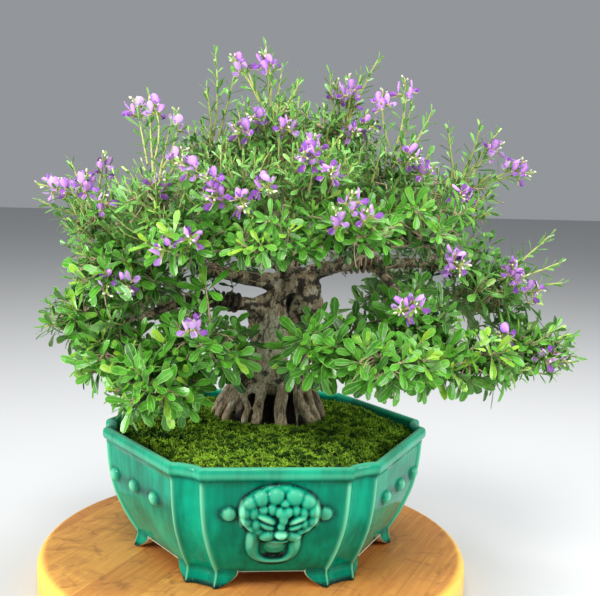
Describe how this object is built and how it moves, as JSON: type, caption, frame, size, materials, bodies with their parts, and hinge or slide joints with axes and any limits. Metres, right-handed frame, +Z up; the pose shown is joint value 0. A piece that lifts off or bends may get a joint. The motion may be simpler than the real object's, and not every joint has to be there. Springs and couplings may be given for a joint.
{
  "type": "vietnamese bluebell bonsai",
  "caption": "Bonsai shrub with small spatula-shaped leaves and lilac pea flowers, in a green glazed six-sided footed pot that stands on a round wooden board.",
  "frame": {"origin": "centre of the round board's underside, on the surface that it stands on", "axes": "+Z up; +X to the right and +Y away from a viewer who faces the front of the pot with the lion mask"},
  "size_m": [0.5507, 0.432, 0.5369],
  "materials": {
    "board_wood": "satin",
    "green_glaze": "gloss",
    "soil": "matte",
    "moss": "matte",
    "bark": "matte",
    "training_wire": "satin",
    "leaves": "satin",
    "petals": "matte"
  },
  "bodies": {
    "root": {"pot": "green_glaze", "soil": "soil", "moss": "moss", "trunk": "bark", "training_wire_left": "training_wire", "training_wire_right": "training_wire", "flowers_upper_left_outer": "petals", "flowers_upper_left_middle": "petals", "flowers_upper_left_front": "petals", "flowers_upper_left_low": "petals", "flowers_upper_front_left": "petals", "flowers_top_middle_left": "petals", "flowers_upper_front_middle": "petals", "flowers_top_middle_right": "petals", "flowers_front_right": "petals", "flowers_top_right": "petals", "flowers_upper_right_outer": "petals", "flowers_right_outer": "petals", "flowers_upper_right_front": "petals", "flowers_low_right_middle": "petals", "flowers_low_right_outer": "petals", "flowers_low_left_front": "petals", "flowers_back_middle_left": "petals", "flowers_back_right": "petals", "leaves_upper_left_outer": "leaves", "leaves_upper_left_low": "leaves", "leaves_upper_left_middle": "leaves", "leaves_upper_left_front": "leaves", "leaves_top_left": "leaves", "leaves_upper_front_left": "leaves", "leaves_top_middle_left": "leaves", "leaves_front_middle": "leaves", "leaves_upper_front_middle": "leaves", "leaves_top_middle_right": "leaves", "leaves_front_right": "leaves", "leaves_top_right": "leaves", "leaves_upper_right_front": "leaves", "leaves_upper_right_outer": "leaves", "leaves_right_outer": "leaves", "leaves_low_left_outer": "leaves", "leaves_low_left_middle": "leaves", "leaves_low_left_tip": "leaves", "leaves_low_left_front": "leaves", "leaves_low_right_inner": "leaves", "leaves_low_right_tip": "leaves", "leaves_low_right_middle": "leaves", "leaves_low_right_front": "leaves", "leaves_low_right_outer": "leaves", "leaves_back_left": "leaves", "leaves_back_middle_left": "leaves", "leaves_back_middle_right": "leaves", "leaves_back_right": "leaves", "leaves_back_top": "leaves", "leaves_back_low_left": "leaves", "leaves_back_low_right": "leaves", "display_board": "board_wood"}
  },
  "joints": []
}
